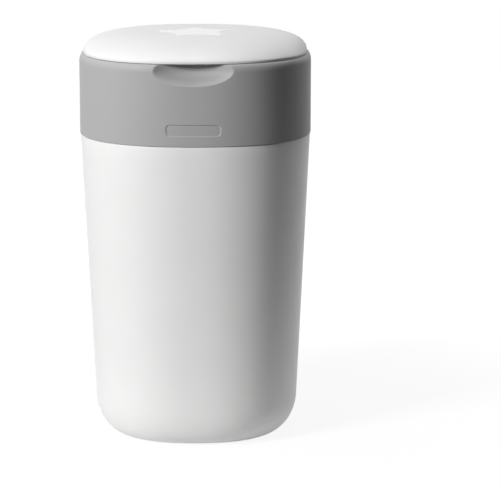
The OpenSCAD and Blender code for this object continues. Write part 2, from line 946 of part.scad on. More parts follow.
module cassette_body() {
  wall = 2.2;
  tube_wall = 2.5;
  top = cassette_top - 3.7;
  panel_top = rim_base - 3;
  hook_width = 9;
  color(slate)
    difference() {
      union() {
        translate([0, 0, cassette_base])
          linear_extrude(panel_top - cassette_base)
            fluted_disc(0);
        translate([0, 0, panel_top])
          cylinder(r = cassette_body_radius, h = top - panel_top);
        translate([0, 0, top - joggle])
          cylinder(r = tube_bore_radius + tube_wall, h = cassette_top + 5 - top);
        // Hooks that hold the rim by its windows
        at_windows()
          translate([cassette_body_radius - 1.5, -hook_width / 2, window_base + 0.2])
            cube([cassette_radius - 0.9 - cassette_body_radius + 1.5, hook_width, 2]);
      }
      difference() {
        union() {
          translate([0, 0, cassette_base + 2.4])
            linear_extrude(panel_top - cassette_base)
              fluted_disc(wall);
          translate([0, 0, panel_top + wall])
            cylinder(r = cassette_body_radius - wall, h = 40);
        }
        cylinder(r = tube_bore_radius + tube_wall, h = seam_height);
      }
      translate([0, 0, cassette_base - 1])
        cylinder(r = tube_bore_radius, h = cassette_height + 20);
      at_windows()
        translate([cassette_body_radius - 6, -window_width / 2 + 1, window_base + 2.2])
          cube([8, window_width - 2, window_height - 2.4]);
    }
}

module cassette_rim() {
  lug_height = 13;
  lug_radius = cassette_radius + lug_reach;
  inner = cassette_body_radius + 0.3;
  lip_bore = cassette_body_radius - 3;
  wall_outer = cassette_radius - 0.5;
  color(slate)
    difference() {
      union() {
        rotate_extrude()
          polygon([[inner, rim_base], [cassette_radius, rim_base], [cassette_radius, rim_base + 3.4],
                   [wall_outer, rim_base + 4], [wall_outer, rim_base + 11],
                   [wall_outer - 0.8, rim_base + 11.4], [wall_outer - 0.8, rim_base + 12.4],
                   [wall_outer, rim_base + 12.8], [wall_outer, cassette_top - 4],
                   [cassette_radius, cassette_top - 3.4], [cassette_radius, cassette_top - 0.8],
                   [cassette_radius - 0.8, cassette_top], [lip_bore + 0.5, cassette_top],
                   [lip_bore, cassette_top - 0.6], [lip_bore, cassette_top - 3.5],
                   [wall_outer - 2.2, cassette_top - 3.5], [wall_outer - 2.2, rim_base + 3],
                   [inner, rim_base + 3]]);
        at_lugs([[wall_outer - 1, rim_base], [lug_radius - 1, rim_base], [lug_radius, rim_base + 1],
                 [lug_radius, rim_base + lug_height - 1.5], [lug_radius - 1.5, rim_base + lug_height],
                 [wall_outer - 1, rim_base + lug_height]], lug_angle);
      }
      at_windows()
        translate([wall_outer - 5, -window_width / 2, window_base])
          cube([8, window_width, window_height]);
    }
}

module film_pack() {
  inner = tube_bore_radius + 2.5 + 0.4;
  lower = cassette_body_radius - 2.2 - panel_sink - 0.5;
  upper = cassette_body_radius - 2.2 - 0.6;
  color("#f7f8f8")
    rotate_extrude()
      polygon([[inner, cassette_base + 2.8], [lower, cassette_base + 2.8], [lower, rim_base - 1],
               [upper, rim_base + 2], [upper, cassette_top - 4.4], [upper - 3, cassette_top - 2],
               [upper - 8, cassette_top - 1], [inner + 12, cassette_top - 2.6],
               [inner + 4, cassette_top - 1], [inner, cassette_top - 3]]);
}

// ---------- Cutter ----------

cutter_level = well_floor_base - track_depth + track_lip + 0.4;
cutter_start = -90;

module cutter_slider() {
  tongue_top = well_floor_base - track_lip - 0.4;
  arm_top = cutter_level + 3.2;
  tab_drop = 15;
  color(slate)
    rotate(cutter_start) {
      rotate(-9)
        rotate_extrude(angle = 18)
          polygon([[84, cutter_level - tab_drop], [87, cutter_level - tab_drop],
                   [87.6, cutter_level], [track_radius - track_lip - 0.5, cutter_level],
                   [track_radius - track_lip - 0.5, tongue_top], [track_bore + 0.8, tongue_top],
                   [track_bore + 0.8, arm_top], [83, arm_top], [83, cutter_level]]);
      difference() {
        translate([60, -5, cutter_level])
          cube([25, 10, 3.2]);
        translate([64, -0.35, cutter_level - 1])
          cube([14, 0.7, 6]);
      }
    }
}

module cutter_blade() {
  color(steel)
    rotate(cutter_start)
      translate([64.2, 0.25, 0])
        rotate([90, 0, 0])
          linear_extrude(0.5)
            polygon([[0, cutter_level + 2.8], [13.4, cutter_level + 2.8], [13.4, cutter_level - 2],
                     [0, cutter_level - 11], [-6, cutter_level - 12], [0, cutter_level - 6]]);
}

tub();
head_hinge_pins();
collar();
deck();
deck_screws();
chassis();
chassis_screws();
click_spring();
gripper();
gripper_clamp();
clamp_screws();
cutter_track();
head_catch();
rim_seal();
lid_hinge_pins();
lid();
star_inlay();
lid_liner();
lid_seal();
liner_screws();
twist_ring();
cassette_carrier();
cassette_body();
cassette_rim();
film_pack();
cutter_slider();
cutter_blade();
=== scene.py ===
"""Nappy bin: smooth shells, film, finishes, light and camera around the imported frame.

Shapes are worked out in millimetres and written to the meshes in metres.
The finger scoop faces -Y, both hinges are at +Y and the floor is z = 0.
"""
import json
import math

import bmesh
import bpy
import numpy as np
from mathutils import Matrix, Vector, noise


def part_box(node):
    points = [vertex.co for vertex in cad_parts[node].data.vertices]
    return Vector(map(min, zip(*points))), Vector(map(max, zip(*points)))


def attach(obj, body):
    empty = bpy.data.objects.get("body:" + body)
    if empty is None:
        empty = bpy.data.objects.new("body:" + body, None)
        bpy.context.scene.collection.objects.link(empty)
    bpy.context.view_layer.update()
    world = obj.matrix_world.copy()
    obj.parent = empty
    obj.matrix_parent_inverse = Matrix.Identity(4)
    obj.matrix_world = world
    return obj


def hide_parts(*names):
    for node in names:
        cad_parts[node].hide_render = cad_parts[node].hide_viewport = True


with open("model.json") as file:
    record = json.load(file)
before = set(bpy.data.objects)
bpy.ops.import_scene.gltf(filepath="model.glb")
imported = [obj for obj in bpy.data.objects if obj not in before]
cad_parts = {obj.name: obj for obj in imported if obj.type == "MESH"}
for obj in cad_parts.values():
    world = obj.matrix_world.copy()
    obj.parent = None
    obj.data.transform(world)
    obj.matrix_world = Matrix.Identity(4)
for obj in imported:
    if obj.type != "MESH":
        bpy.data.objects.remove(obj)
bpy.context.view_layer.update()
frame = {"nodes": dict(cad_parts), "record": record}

MM = 0.001


def box_mm(node):
    """Lowest and highest corner of a CAD node, in millimetres."""
    low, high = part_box(node)
    return np.array(low) / MM, np.array(high) / MM


# ---------------------------------------------------------------- driving sizes

collar_low, collar_high = box_mm("collar")
tub_high = box_mm("tub")[1]
lid_high = box_mm("lid")[1]

# Plan: every level is a squared oval
PLAN_EXPONENT = 2.36
COLLAR_HALF = collar_high[0]
DEPTH_SHARE = -collar_low[1] / COLLAR_HALF
SHELL_COLUMNS = 288

# Collar
COLLAR_BOTTOM = 347.0
SEAM = 437.5
SEAM_GAP = 1.2
COLLAR_TOP = SEAM - SEAM_GAP / 2
SHOULDER_HEIGHT = 9.0
SHOULDER_INSET = 4.6
SHOULDER_FOOT = COLLAR_TOP - SHOULDER_HEIGHT
SEAM_HALF = COLLAR_HALF - SHOULDER_INSET
SEAM_ROUND = 0.25  # radius of the edges at the seam
COLLAR_WALL = 2.8
SEAT_LEVEL = SEAM - 16.5  # top of the ledge that carries the deck

# Tub
TUB_WALL = 2.6
TUB_RIM = COLLAR_BOTTOM + 15.0
TUB_SHELF = COLLAR_BOTTOM - 0.4
TUB_TOP_HALF = tub_high[0]
NECK_HALF = 127.0
NECK_FLARE = 0.3
STOP_LEVEL = TUB_RIM + 2.0  # underside of the ledge that rests over the rim
CREASE_HALF = 115.8
CREASE_HEIGHT = 39.5
FOOT_INSET = 28.8
FOOT_HALF = CREASE_HALF - FOOT_INSET
FOOT_EXPONENT = 1.85
FLOOR_TOP = 5.0

# Lid and star. The lid reaches further down than its solid, so that the seam is a thin line
LID_EDGE = SEAM - 0.1
LID_WALL = 2.4
DOME_CROWN = 3.8
DOME_EDGE = 2.64
FRONT_EDGE = 1.3
FRONT_RIM = 2.2
DOME_RISE = lid_high[2] - SEAM
STAR_RADIUS = 42.0
STAR_TIP = 2.6  # radius of the rounded tips
STAR_WAIST = 0.57  # distance of the notches from the middle, as a share of the tips'
STAR_FORWARD = 11.5
STAR_SIDE = 1.6
STAR_TURN = math.radians(7)

# Hinges: their axes as (y, z)
HEAD_AXIS = (136.0, COLLAR_BOTTOM + 2.5)
HEAD_KNUCKLE = 5.5
LID_AXIS = (133.5, SEAM + 0.5)
LID_KNUCKLE = 4.5
HINGE_OFFSET = 30.0
MIDDLE_KNUCKLE = 15.0
SIDE_KNUCKLE = 8.0
KNUCKLE_GAP = 0.5
HINGE_WIDTH = MIDDLE_KNUCKLE + 2 * (SIDE_KNUCKLE + KNUCKLE_GAP)

# ---------------------------------------------------------------- mesh helpers


def smooth_step(value, start, end):
    """0 up to start, 1 from end on and an eased rise between them."""
    share = np.clip((value - start) / (end - start), 0, 1)
    return share * share * (3 - 2 * share)


def oval(half, inset, turn):
    """Points of the squared oval of half-width half, lying in by inset, at the angles turn."""
    across, along = half - inset, half * DEPTH_SHARE - inset
    radius = (np.abs(np.cos(turn) / across) ** PLAN_EXPONENT
              + np.abs(np.sin(turn) / along) ** PLAN_EXPONENT) ** (-1 / PLAN_EXPONENT)
    return radius * np.cos(turn), radius * np.sin(turn)


def place_object(name, mesh, body, material):
    """Object from a finished mesh, riding on a body."""
    piece = bpy.data.objects.new(name, mesh)
    bpy.context.scene.collection.objects.link(piece)
    mesh.materials.append(material)
    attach(piece, body)
    return piece


def loft(name, rings, body, material, looped=False):
    """Shell through closed rings, given as an array of rows, columns and millimetres."""
    rows, columns = rings.shape[:2]
    points = rings.reshape(-1, 3)
    faces = []
    for row in range(rows if looped else rows - 1):
        low, high = row * columns, (row + 1) % rows * columns
        for column in range(columns):
            after = (column + 1) % columns
            faces.append((low + column, low + after, high + after, high + column))
    mesh = bpy.data.meshes.new(name)
    mesh.from_pydata((points * MM).tolist(), [], faces)
    mesh.update()
    mesh.shade_smooth()
    return place_object(name, mesh, body, material)


def circle_row(radius, height, turn):
    """Points at the angles turn on a circle round the vertical axis."""
    return np.stack([radius * np.cos(turn), radius * np.sin(turn), np.full_like(turn, height)], axis=1)


def oval_row(half, inset, height, turn):
    """Points at the angles turn on the squared oval of half-width half, lying in by inset."""
    x, y = oval(half, inset, turn)
    return np.stack([x, y, np.full_like(x, height)], axis=1)


def ring_rows(profile, turn):
    """Rings at the angles turn for a profile of (half-width, inset, height) rows."""
    return np.array([oval_row(half, inset, height, turn) for half, inset, height in profile])


def turns(count):
    """Angles of a full turn in count steps."""
    return np.linspace(0, 2 * np.pi, count, endpoint=False)


def spaced(start, end, step):
    """Evenly spaced values from start up to, but without, end."""
    return np.linspace(start, end, max(1, round(abs(end - start) / step)), endpoint=False)


def add_columns(builder, columns, bevel=0.5):
    """Adds a solid through columns of points that run along X, with its end edges eased."""
    made = [[builder.verts.new([value * MM for value in point]) for point in column]
            for column in columns]
    caps = [builder.faces.new(made[0][::-1]), builder.faces.new(made[-1])]
    count = len(made[0])
    for low, high in zip(made, made[1:]):
        for i in range(count):
            j = (i + 1) % count
            builder.faces.new((low[i], low[j], high[j], high[i]))
    edges = [edge for face in caps for edge in face.edges]
    bmesh.ops.bevel(builder, geom=edges, offset=bevel * MM, segments=3, profile=0.5,
                    affect="EDGES")


def add_prism(builder, outline, start, width, bevel=0.5):
    """Adds a profile of (y, z) points, drawn out along X, with its end edges eased."""
    add_columns(builder, [[(x, y, z) for y, z in outline] for x in (start, start + width)], bevel)


def wall_y(half_at, sink):
    """Function of x and z that gives the y inside the rear wall, sunk below its outer face."""
    def at(x, z):
        half = half_at(z)
        left = 1 - (abs(x) / half) ** PLAN_EXPONENT
        return half * DEPTH_SHARE * left ** (1 / PLAN_EXPONENT) - sink
    return at


def add_arm(builder, outline, start, width, back, bevel=0.5):
    """Adds a profile of (y, z) points along X; its points with no y lie on the wall at back."""
    columns = []
    for x in np.linspace(start, start + width, 7):
        columns.append([(x, back(x, z) if y is None else y, z) for y, z in outline])
    add_columns(builder, columns, bevel)


def circle_outline(centre, radius, count=40):
    """Outline of (y, z) points round a hinge axis."""
    return [(centre[0] + radius * math.cos(turn), centre[1] + radius * math.sin(turn))
            for turn in turns(count)]


def add_middle_knuckles(builder, axis, radius, arm, back):
    """The middle knuckle of both hinges, on its arm."""
    for side in (-1, 1):
        start = side * HINGE_OFFSET - MIDDLE_KNUCKLE / 2
        add_arm(builder, arm, start, MIDDLE_KNUCKLE, back)
        add_prism(builder, circle_outline(axis, radius), start, MIDDLE_KNUCKLE)


def add_side_knuckles(builder, axis, radius, arm, back):
    """The two side knuckles of both hinges, on their arms."""
    for side in (-1, 1):
        for step in (-HINGE_WIDTH / 2, MIDDLE_KNUCKLE / 2 + KNUCKLE_GAP):
            start = side * HINGE_OFFSET + step
            add_arm(builder, arm, start, SIDE_KNUCKLE, back)
            add_prism(builder, circle_outline(axis, radius), start, SIDE_KNUCKLE)


def add_blocks(builder, outline, back):
    """The block behind the knuckles of both hinges."""
    for side in (-1, 1):
        start = side * HINGE_OFFSET - HINGE_WIDTH / 2
        add_arm(builder, outline, start, HINGE_WIDTH, back, bevel=0.9)


def add_ring(builder, outline, centre=(0, 0), columns=72):
    """Adds a profile of (radius, z) points turned about a vertical axis."""
    rings = [[builder.verts.new(((centre[0] + radius * math.cos(turn)) * MM,
                                 (centre[1] + radius * math.sin(turn)) * MM, z * MM))
              for radius, z in outline]
             for turn in turns(columns)]
    count = len(outline)
    for k in range(columns):
        here, after = rings[k], rings[(k + 1) % columns]
        for i in range(count):
            j = (i + 1) % count
            builder.faces.new((here[i], after[i], after[j], here[j]))


def spin(builder, angle):
    """Turns a bmesh about the vertical axis."""
    bmesh.ops.rotate(builder, verts=builder.verts, cent=(0, 0, 0),
                     matrix=Matrix.Rotation(math.radians(angle), 3, "Z"))


def merge(target, source):
    """Adds one bmesh to another."""
    scratch = bpy.data.meshes.new("scratch")
    source.to_mesh(scratch)
    source.free()
    target.from_mesh(scratch)
    bpy.data.meshes.remove(scratch)


def built_object(name, builder, body, material):
    """Object from a finished bmesh in metres, with its corners kept sharp."""
    bmesh.ops.recalc_face_normals(builder, faces=builder.faces)
    mesh = bpy.data.meshes.new(name)
    builder.to_mesh(mesh)
    builder.free()
    mesh.shade_smooth()
    mesh.set_sharp_from_angle(angle=math.radians(40))
    return place_object(name, mesh, body, material)


# ---------------------------------------------------------------- materials


class Finish:
    """A Principled material whose colour, roughness and relief come from noise."""

    def __init__(self, name, tone, rough, specular=0.5, metal=0.0):
        self.material = bpy.data.materials.new(name)
        self.material.use_nodes = True
        self.tree = self.material.node_tree
        self.shader = self.tree.nodes["Principled BSDF"]
        self.shader.inputs["Base Color"].default_value = (*tone, 1)
        self.shader.inputs["Roughness"].default_value = rough
        self.shader.inputs["Specular IOR Level"].default_value = specular
        self.shader.inputs["Metallic"].default_value = metal
        self.tone = tone
        self.rough = rough
        self.place = self.add("ShaderNodeTexCoord").outputs["Object"]
        self.normal = None

    def add(self, kind, **settings):
        """New node with its settings."""
        node = self.tree.nodes.new(kind)
        for key, value in settings.items():
            setattr(node, key, value)
        return node

    def link(self, source, target):
        """Joins two sockets."""
        self.tree.links.new(source, target)

    def noise(self, size, detail=2.0, stretch=None):
        """Noise whose features are about size millimetres across."""
        texture = self.add("ShaderNodeTexNoise")
        texture.inputs["Scale"].default_value = 1 / (size * MM)
        texture.inputs["Detail"].default_value = detail
        place = self.place
        if stretch:
            mapping = self.add("ShaderNodeMapping")
            mapping.inputs["Scale"].default_value = stretch
            self.link(place, mapping.inputs["Vector"])
            place = mapping.outputs["Vector"]
        self.link(place, texture.inputs["Vector"])
        return texture.outputs["Fac"]

    def spread(self, source, low, high):
        """Maps the middle half of a noise to the values from low to high."""
        node = self.add("ShaderNodeMapRange")
        node.inputs["From Min"].default_value = 0.25
        node.inputs["From Max"].default_value = 0.75
        node.inputs["To Min"].default_value = low
        node.inputs["To Max"].default_value = high
        self.link(source, node.inputs["Value"])
        return node.outputs["Result"]

    def mottle(self, size, depth, detail=2.0):
        """Varies the colour by depth, a share of its brightness."""
        mix = self.add("ShaderNodeMix", data_type="RGBA", blend_type="MIX")
        mix.inputs["A"].default_value = (*(c * (1 - depth) for c in self.tone), 1)
        mix.inputs["B"].default_value = (*(min(1, c * (1 + depth)) for c in self.tone), 1)
        self.link(self.spread(self.noise(size, detail), 0, 1), mix.inputs["Factor"])
        self.link(mix.outputs["Result"], self.shader.inputs["Base Color"])

    def satin(self, size, depth):
        """Varies the roughness by depth."""
        value = self.spread(self.noise(size, detail=3.0), self.rough - depth, self.rough + depth)
        self.link(value, self.shader.inputs["Roughness"])

    def relief(self, size, height, strength=1.0, detail=2.0, stretch=None):
        """Adds a bump of height millimetres."""
        bump = self.add("ShaderNodeBump")
        bump.inputs["Strength"].default_value = strength
        bump.inputs["Distance"].default_value = height * MM
        self.link(self.noise(size, detail, stretch), bump.inputs["Height"])
        if self.normal:
            self.link(self.normal, bump.inputs["Normal"])
        self.normal = bump.outputs["Normal"]
        self.link(self.normal, self.shader.inputs["Normal"])


def moulded(name, tone, rough, specular=0.5, grain=0.9, height=0.02, mottle=0.012):
    """Injection-moulded plastic: fine spark-eroded grain over a faint long wave."""
    finish = Finish(name, tone, rough, specular)
    finish.mottle(45, mottle, detail=3)
    finish.satin(14, 0.04)
    finish.relief(38, 0.12, strength=0.35)
    finish.relief(grain, height)
    return finish.material


def brushed(name, tone, rough):
    """Drawn steel wire and pressed screws."""
    finish = Finish(name, tone, rough, metal=1.0)
    finish.mottle(4, 0.06)
    finish.satin(1.2, 0.08)
    finish.relief(0.7, 0.02, stretch=(0.15, 1, 1))
    return finish.material


def rubbery(name, tone):
    """Dull soft rubber."""
    finish = Finish(name, tone, rough=0.72, specular=0.35)
    finish.mottle(9, 0.08)
    finish.satin(5, 0.06)
    finish.relief(0.6, 0.04)
    return finish.material


TUB_WHITE = moulded("tub_white", (0.845, 0.845, 0.84), 0.42)
# The lid's white is darker than the tub's white: painted shade that holds back the stronger light
# falling on the lid's top.
LID_WHITE_PAINTED_SHADE = moulded("lid_white", (0.77, 0.77, 0.77), 0.46, specular=0.3, grain=1.1,
                    height=0.03)
STAR_GLOSS = moulded("star_gloss", (0.86, 0.86, 0.86), 0.22, grain=3.0, height=0.004)
COLLAR_GREY = moulded("collar_grey", (0.42, 0.42, 0.425), 0.45, specular=0.1, height=0.03)
INNER_WHITE = moulded("inner_white", (0.78, 0.78, 0.775), 0.38)
RING_GREY = moulded("ring_grey", (0.34, 0.35, 0.36), 0.36)
SLATE = moulded("slate_plastic", (0.17, 0.23, 0.32), 0.33, mottle=0.05)
STEEL = brushed("steel", (0.60, 0.60, 0.61), 0.28)
GRIP_RUBBER = rubbery("grip_rubber", (0.13, 0.17, 0.23))
SEAL_RUBBER = rubbery("seal_rubber", (0.05, 0.052, 0.055))


def film_material():
    """Thin white film: soft sheen on many small folds."""
    finish = Finish("film", (0.86, 0.88, 0.89), rough=0.28)
    finish.mottle(7, 0.06, detail=4)
    finish.satin(4, 0.1)
    finish.relief(5, 0.9, detail=4)
    finish.relief(1.6, 0.3, detail=3)
    return finish.material


FILM = film_material()

# ---------------------------------------------------------------- tub

FOOT_FRONT_TILT = 0.16  # extra inward start of the foot at the front, as a share of its inset
FOOT_LAND = 8.0  # width of the flat ring that the bin stands on
FOOT_RECESS = 2.4
HUB_RADIUS = 24.0
RIM_ROUND = 0.5
RIB_COUNT = 12
RIB_HALF = 1.0  # half the thickness of a rib
RIB_RING = 55.0


def foot_rows(inset, base, turn, count):
    """Rings of the rounded foot, from its base up to the crease."""
    facing = np.abs(np.sin(turn))
    crease = 0.25 + 0.75 * smooth_step(facing, 0.3, 0.75)
    rows = []
    for step in np.linspace(90, 0, count, endpoint=False):
        across = np.cos(np.radians(step)) ** (2 / FOOT_EXPONENT)
        down = np.sin(np.radians(step)) ** (2 / FOOT_EXPONENT)
        share = 1 - across + FOOT_FRONT_TILT * crease * down * (1 - down) ** 2
        height = CREASE_HEIGHT - (CREASE_HEIGHT - base) * down
        rows.append(oval_row(CREASE_HALF - FOOT_INSET * share, inset, height, turn))
    return rows


def tub_half(height):
    """Half-width of the tapered wall at a height."""
    share = (height - CREASE_HEIGHT) / (TUB_SHELF - CREASE_HEIGHT)
    return CREASE_HALF + (TUB_TOP_HALF - CREASE_HALF) * share


def tub_underside(turn):
    """Rings of the hub, the recessed floor and the land, from the middle out."""
    hub = [(0.02, 0.3), (HUB_RADIUS - 0.6, 0.3), (HUB_RADIUS, 0.5), (HUB_RADIUS, FOOT_RECESS)]
    land = [(FOOT_HALF, FOOT_LAND + 0.5, FOOT_RECESS), (FOOT_HALF, FOOT_LAND, FOOT_RECESS - 0.5),
            (FOOT_HALF, FOOT_LAND, 0.4), (FOOT_HALF, FOOT_LAND - 0.4, 0.0), (FOOT_HALF, 0.6, 0.0)]
    return [circle_row(radius, height, turn) for radius, height in hub] + list(ring_rows(land, turn))


def tub_wall_rows():
    """Profile of the wall: up its outside, over the shelf, the neck and the rim, and down inside."""
    ease = np.linspace(0, math.pi / 2, 5)
    rim_half = NECK_HALF + NECK_FLARE
    neck_base = TUB_SHELF - TUB_WALL
    wall_top = neck_base - (TUB_TOP_HALF - NECK_HALF)
    r = RIM_ROUND
    rows = [(tub_half(z), 0, z) for z in spaced(CREASE_HEIGHT, TUB_SHELF - r, 14)]
    rows += [(TUB_TOP_HALF, r - r * math.cos(a), TUB_SHELF - r + r * math.sin(a)) for a in ease]
    rows += [(NECK_HALF, -0.3, TUB_SHELF), (NECK_HALF, 0, TUB_SHELF + 0.3), (rim_half, 0, TUB_RIM - r)]
    rows += [(rim_half, r - r * math.cos(a), TUB_RIM - r + r * math.sin(a)) for a in ease[1:]]
    rows += [(rim_half, TUB_WALL - r + r * math.sin(a), TUB_RIM - r + r * math.cos(a)) for a in ease]
    rows += [(NECK_HALF, TUB_WALL, neck_base + 0.6), (NECK_HALF, TUB_WALL - 0.3, neck_base)]
    rows += [(tub_half(wall_top), TUB_WALL + 0.3, wall_top + 0.4)]
    rows += [(tub_half(z), TUB_WALL, z) for z in spaced(wall_top, CREASE_HEIGHT, 14)]
    return rows


def build_tub():
    """The tub's shell, from the middle of its underside round to the middle of its floor."""
    turn = turns(SHELL_COLUMNS)
    rows = tub_underside(turn)
    rows += foot_rows(0, 0, turn, 30)
    rows += list(ring_rows(tub_wall_rows(), turn))
    rows += foot_rows(TUB_WALL, FLOOR_TOP, turn, 20)[::-1]
    floor = FOOT_HALF - TUB_WALL
    rows += [oval_row(floor * share, 0, FLOOR_TOP, turn) for share in (0.97, 0.6, 0.3, 0.001)]
    tub = loft("tub_shell", np.array(rows), "tub", TUB_WHITE)
    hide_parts("tub")


def add_ribs(builder):
    """The spokes and the ring under the floor."""
    low, high = 1.0, FOOT_RECESS + 0.2
    start, end = HUB_RADIUS - 1, FOOT_HALF - 5
    section = [(-RIB_HALF, low), (RIB_HALF, low), (RIB_HALF, high), (-RIB_HALF, high)]
    for i in range(RIB_COUNT):
        rib = bmesh.new()
        add_prism(rib, section, start, end - start, bevel=0.3)
        spin(rib, 360 / RIB_COUNT * i)
        merge(builder, rib)
    add_ring(builder, [(RIB_RING + across, z) for across, z in section])


def add_tub_hinges(builder):
    """The tub's knuckles of the head's hinges, on their arms and blocks."""
    top = HEAD_AXIS[1] - 7
    base = COLLAR_BOTTOM - 46
    back = wall_y(tub_half, TUB_WALL / 2)
    arm = [(None, top - 6), (138.9, top - 6), (141.3, HEAD_AXIS[1] - 1.5), HEAD_AXIS,
           (130.6, HEAD_AXIS[1]), (130.6, COLLAR_BOTTOM - 1.1), (None, COLLAR_BOTTOM - 1.1)]
    block = [(None, base), (125, base + 1), (132.4, COLLAR_BOTTOM - 29),
             (138.9, top - 1.2), (137.7, top), (None, top)]
    add_blocks(builder, block, back)
    add_middle_knuckles(builder, HEAD_AXIS, HEAD_KNUCKLE, arm, back)


def add_catch_bead(builder):
    """The bead inside the rim that the head's catch snaps under."""
    half_length = 16
    low, high = COLLAR_BOTTOM + 5, COLLAR_BOTTOM + 9
    front_at = wall_y(lambda z: NECK_HALF, TUB_WALL - 0.4)
    behind_at = wall_y(lambda z: NECK_HALF, TUB_WALL + 1.6)
    columns = []
    for x in np.linspace(-half_length, half_length, 17):
        front, behind = -front_at(x, low), -behind_at(x, low)
        columns.append([(x, front, low), (x, behind - 0.6, low), (x, behind, low + 1),
                        (x, behind, high - 1), (x, behind - 0.6, high), (x, front, high)])
    add_columns(builder, columns)


def build_tub_details():
    """What stands out from the tub's shell."""
    builder = bmesh.new()
    add_ribs(builder)
    add_tub_hinges(builder)
    add_catch_bead(builder)
    built_object("tub_details", builder, "tub", TUB_WHITE)


build_tub()
build_tub_details()

# ---------------------------------------------------------------- collar

SCOOP_LEVEL = SEAM - 7.0
SCOOP_HALF = 52.8
SCOOP_DROP = 16.8  # reach of the bowl below its middle
SCOOP_RISE = 50.0  # and above it, past the seam
SCOOP_DEPTH = 14.2
SCOOP_SKIN = 1.0  # wall behind the bowl
SCOOP_EASE = 0.8  # reach of the rounded edge between the bowl and the face
PLATE_SIZE = (60.0, 12.6)
PLATE_LEVEL = 365.0
PLATE_CORNER = 3.8
PLATE_DEPTH = 0.8
LOWER_ROUND = 0.45
SEAT_INSET = 11.5  # depth of the ledge that carries the deck
STOP_INSET = 13.0  # depth of the ledge over the tub's rim
LEDGE_THICKNESS = 3.0


def rounded_max(a, b, reach):
    """The larger of two values, with the meeting eased over reach."""
    near = np.maximum(reach - np.abs(a - b), 0) / reach
    return np.maximum(a, b) + near * near * reach / 4


def bowl_y(x, z, grow):
    """Y of the scoop's bowl, grown outwards by grow."""
    high = np.where(z < SCOOP_LEVEL, SCOOP_DROP, SCOOP_RISE) + grow
    out = np.hypot(x / (SCOOP_HALF + grow), (z - SCOOP_LEVEL) / high)
    return -COLLAR_HALF * DEPTH_SHARE + (SCOOP_DEPTH + grow) * (1 - out**2)


def plate_mask(x, z):
    """1 on the sunk plate, 0 off it, eased from 0.55 mm inside its outline to 0.25 mm outside."""
    half_x, half_z = np.array(PLATE_SIZE) / 2 - PLATE_CORNER
    over_x = np.maximum(np.abs(x) - half_x, 0)
    over_z = np.maximum(np.abs(z - PLATE_LEVEL) - half_z, 0)
    distance = np.hypot(over_x, over_z) - PLATE_CORNER
    return 1 - smooth_step(distance, -0.55, 0.25)


def collar_turns():
    """Angles of the columns, dense across the front, where the scoop and the plate are."""
    dense_half, fine, coarse = 50.0, 0.56 / COLLAR_HALF, np.radians(1.4)
    front = np.arcsin(dense_half / COLLAR_HALF)
    return np.concatenate([
        spaced(-np.pi / 2 - front, -np.pi / 2 + front, fine),
        spaced(-np.pi / 2 + front, 3 * np.pi / 2 - front, coarse),
    ])


def shoulder(a):
    """Half-width and height of the shoulder, from its foot at 0 to the seam at a quarter turn."""
    return (SEAM_HALF + SHOULDER_INSET * math.cos(a),
            COLLAR_TOP - SHOULDER_HEIGHT * (1 - math.sin(a)))


def collar_outside():
    """Rows of the outer face, as half-width, inset, height and growth of the bowl."""
    rows = [(COLLAR_HALF, LOWER_ROUND * (1 - math.sin(a)),
             COLLAR_BOTTOM + LOWER_ROUND * (1 - math.cos(a)), 0)
            for a in np.linspace(0, np.pi / 2, 5)]
    plate_low, plate_high = PLATE_LEVEL - 8, PLATE_LEVEL + 8
    scoop_low = SCOOP_LEVEL - 19.5
    heights = np.concatenate([
        spaced(COLLAR_BOTTOM + LOWER_ROUND + 1, plate_low, 2.5), spaced(plate_low, plate_high, 0.32),
        spaced(plate_high, scoop_low, 4), spaced(scoop_low, SHOULDER_FOOT, 0.34),
    ])
    rows += [(COLLAR_HALF, 0, z, 0) for z in heights]
    for a in np.linspace(0, np.pi / 2, 32, endpoint=False):
        half, height = shoulder(a)
        if height < COLLAR_TOP - SEAM_ROUND * 0.6:
            rows.append((half, 0, height, 0))
    return rows


def collar_rim():
    """Rows over the top edge. The bowl grows to its skin on the way in."""
    rows = [(SEAM_HALF, SEAM_ROUND * (1 - math.cos(a)),
             COLLAR_TOP - SEAM_ROUND * (1 - math.sin(a)), 0)
            for a in np.linspace(0.5, np.pi / 2, 4)]
    rows += [(SEAM_HALF, SEAM_ROUND + (COLLAR_WALL - 2 * SEAM_ROUND) * share, COLLAR_TOP,
              SCOOP_SKIN * share)
             for share in (0.25, 0.5, 0.75)]
    rows += [(SEAM_HALF, COLLAR_WALL - SEAM_ROUND * (1 - math.sin(a)),
              COLLAR_TOP - SEAM_ROUND * (1 - math.cos(a)), SCOOP_SKIN)
             for a in np.linspace(0, np.pi / 2, 4)]
    return rows


def ledge_rows(top, inset):
    """Rows round a ledge on the inner face."""
    return [(COLLAR_HALF, COLLAR_WALL, top, SCOOP_SKIN),
            (COLLAR_HALF, inset - 0.5, top, SCOOP_SKIN),
            (COLLAR_HALF, inset, top - 0.5, SCOOP_SKIN),
            (COLLAR_HALF, inset, top - LEDGE_THICKNESS + 0.5, SCOOP_SKIN),
            (COLLAR_HALF, inset - 0.5, top - LEDGE_THICKNESS, SCOOP_SKIN),
            (COLLAR_HALF, COLLAR_WALL, top - LEDGE_THICKNESS, SCOOP_SKIN)]


def inner_wall(start, end, step):
    """Rows down the plain inner face, between start and end."""
    return [(COLLAR_HALF, COLLAR_WALL, z, SCOOP_SKIN) for z in spaced(start, end, step)[1:]]


